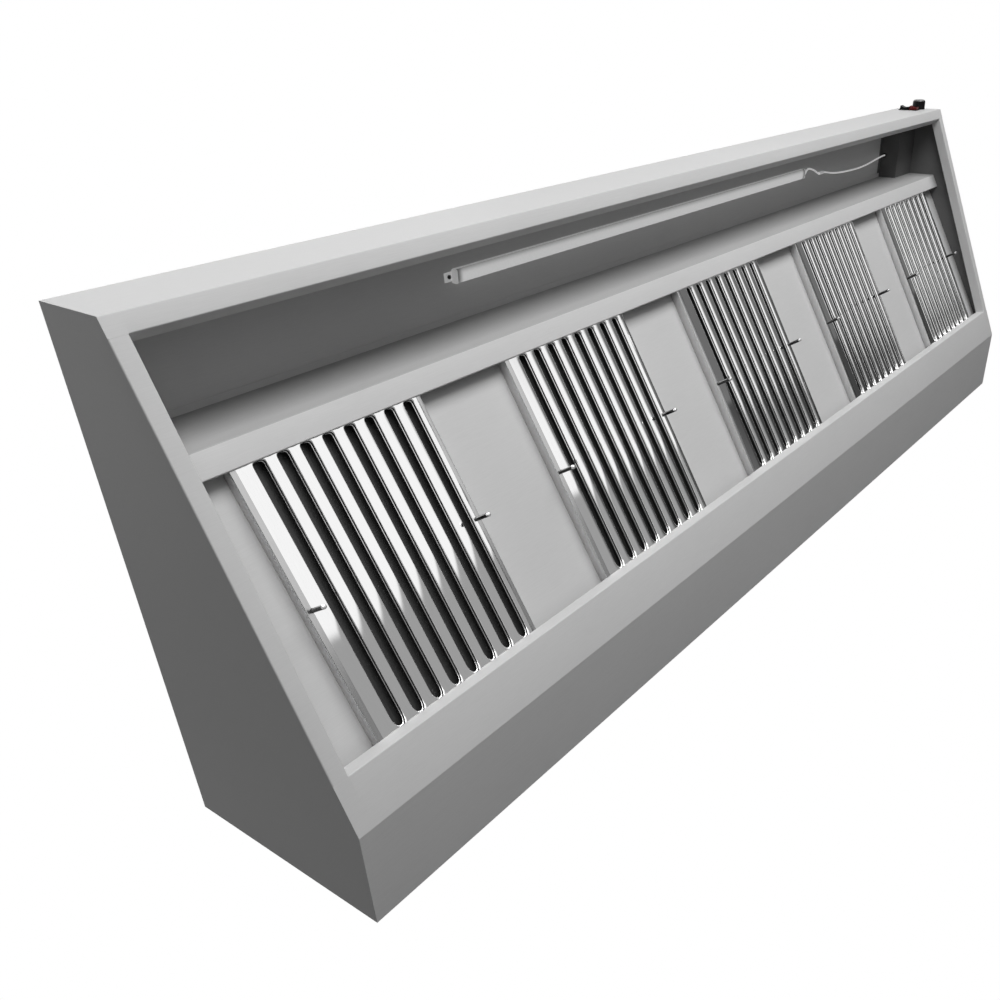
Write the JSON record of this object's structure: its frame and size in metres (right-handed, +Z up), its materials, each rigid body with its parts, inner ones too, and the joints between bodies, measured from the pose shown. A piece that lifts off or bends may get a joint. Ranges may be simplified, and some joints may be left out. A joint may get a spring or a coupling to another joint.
{
  "type": "wall mount range hood",
  "caption": "Wide wall mount canopy hood in satin steel with sloping baffle filters, a ceiling lamp, rocker switches, a speed knob and a built-in blower.",
  "frame": {"origin": "centre of the four wall bolts on the face that lies on the wall", "axes": "+X to the right as the cook faces the hood, -Y out from the wall towards the cook, +Z up"},
  "size_m": [3, 0.9298, 0.51],
  "materials": {
    "satin_sheet": "fine satin",
    "galvanised_steel": "dull zinc",
    "bright_steel": "mirror polished",
    "dark_steel": "dark, lightly oiled",
    "lamp_white": "smooth",
    "lamp_board": "matt",
    "frosted_cover": "frosted",
    "screw_steel": "plated",
    "black_rubber": "matt",
    "ivory_plastic": "matt",
    "grey_plastic": "matt",
    "black_plastic": "satin black",
    "red_plastic": "glossy",
    "knob_disc_grey": "satin",
    "cast_aluminium": "as pressed",
    "motor_paint": "matt paint"
  },
  "bodies": {
    "canopy": {"back_panel": "satin_sheet", "top_panel": "satin_sheet", "left_side_panel": "satin_sheet", "right_side_panel": "satin_sheet", "front_fascia": "satin_sheet", "gutter_pan": "satin_sheet", "plenum_front_plate": "satin_sheet", "filter_bank_plate": "satin_sheet", "plenum_gussets": "galvanised_steel", "filter_rests": "satin_sheet", "wall_rails": "galvanised_steel", "lamp_body": "lamp_white", "lamp_light_board": "lamp_board", "lamp_diffuser": "frosted_cover", "lamp_end_caps": "lamp_white", "lamp_screws": "screw_steel", "lamp_lead": "lamp_white", "lead_connector": "lamp_white", "lead_gland": "black_rubber", "cable_duct": "satin_sheet", "duct_screws": "screw_steel", "terminal_block": "ivory_plastic", "supply_gland": "grey_plastic", "light_switch_body": "black_plastic", "fan_switch_body": "black_plastic", "speed_control_body": "grey_plastic", "speed_control_nut": "screw_steel", "blower_scroll": "galvanised_steel", "blower_side_plates": "galvanised_steel", "blower_outlet_flange": "galvanised_steel", "blower_motor": "motor_paint", "motor_bracket": "galvanised_steel", "bracket_screws": "screw_steel", "exhaust_collar": "galvanised_steel", "collar_screws": "screw_steel"},
    "light_rocker": {"light_rocker": "black_plastic"},
    "fan_rocker": {"fan_rocker": "red_plastic"},
    "speed_knob": {"speed_control_shaft": "screw_steel", "speed_knob": "black_plastic", "speed_knob_disc": "knob_disc_grey"},
    "blower_rotor": {"impeller_disc": "cast_aluminium", "impeller_rings": "cast_aluminium", "impeller_blades": "cast_aluminium", "blower_shaft": "screw_steel"},
    "filter_1": {"filter_1_face": "bright_steel", "filter_1_baffles": "dark_steel", "filter_1_pulls": "dark_steel"},
    "filter_2": {"filter_2_face": "bright_steel", "filter_2_baffles": "dark_steel", "filter_2_pulls": "dark_steel"},
    "filter_3": {"filter_3_face": "bright_steel", "filter_3_baffles": "dark_steel", "filter_3_pulls": "dark_steel"},
    "filter_4": {"filter_4_face": "bright_steel", "filter_4_baffles": "dark_steel", "filter_4_pulls": "dark_steel"},
    "filter_5": {"filter_5_face": "bright_steel", "filter_5_baffles": "dark_steel", "filter_5_pulls": "dark_steel"}
  },
  "joints": [
    {"name": "filter_1_lift", "type": "slide", "parent": "canopy", "child": "filter_1", "axis": [0, -0.8659, 0.5002], "range_m": [0, 0.023]},
    {"name": "filter_2_lift", "type": "slide", "parent": "canopy", "child": "filter_2", "axis": [0, -0.8659, 0.5002], "range_m": [0, 0.023]},
    {"name": "filter_3_lift", "type": "slide", "parent": "canopy", "child": "filter_3", "axis": [0, -0.8659, 0.5002], "range_m": [0, 0.023]},
    {"name": "filter_4_lift", "type": "slide", "parent": "canopy", "child": "filter_4", "axis": [0, -0.8659, 0.5002], "range_m": [0, 0.023]},
    {"name": "filter_5_lift", "type": "slide", "parent": "canopy", "child": "filter_5", "axis": [0, -0.8659, 0.5002], "range_m": [0, 0.023]},
    {"name": "light_rocker_tip", "type": "hinge", "parent": "canopy", "child": "light_rocker", "pos_m": [1.424, -0.9, 0.185], "axis": [-1, 0, 0], "range_deg": [0, 16]},
    {"name": "fan_rocker_tip", "type": "hinge", "parent": "canopy", "child": "fan_rocker", "pos_m": [1.424, -0.9, 0.153], "axis": [-1, 0, 0], "range_deg": [0, 16]},
    {"name": "speed_knob_turn", "type": "hinge", "parent": "canopy", "child": "speed_knob", "pos_m": [1.466, -0.9, 0.152], "axis": [0, 1, 0], "range_deg": [0, 270]},
    {"name": "blower_spin", "type": "hinge", "parent": "canopy", "child": "blower_rotor", "pos_m": [0, -0.205, 0.02], "axis": [1, 0, 0], "continuous": true}
  ]
}
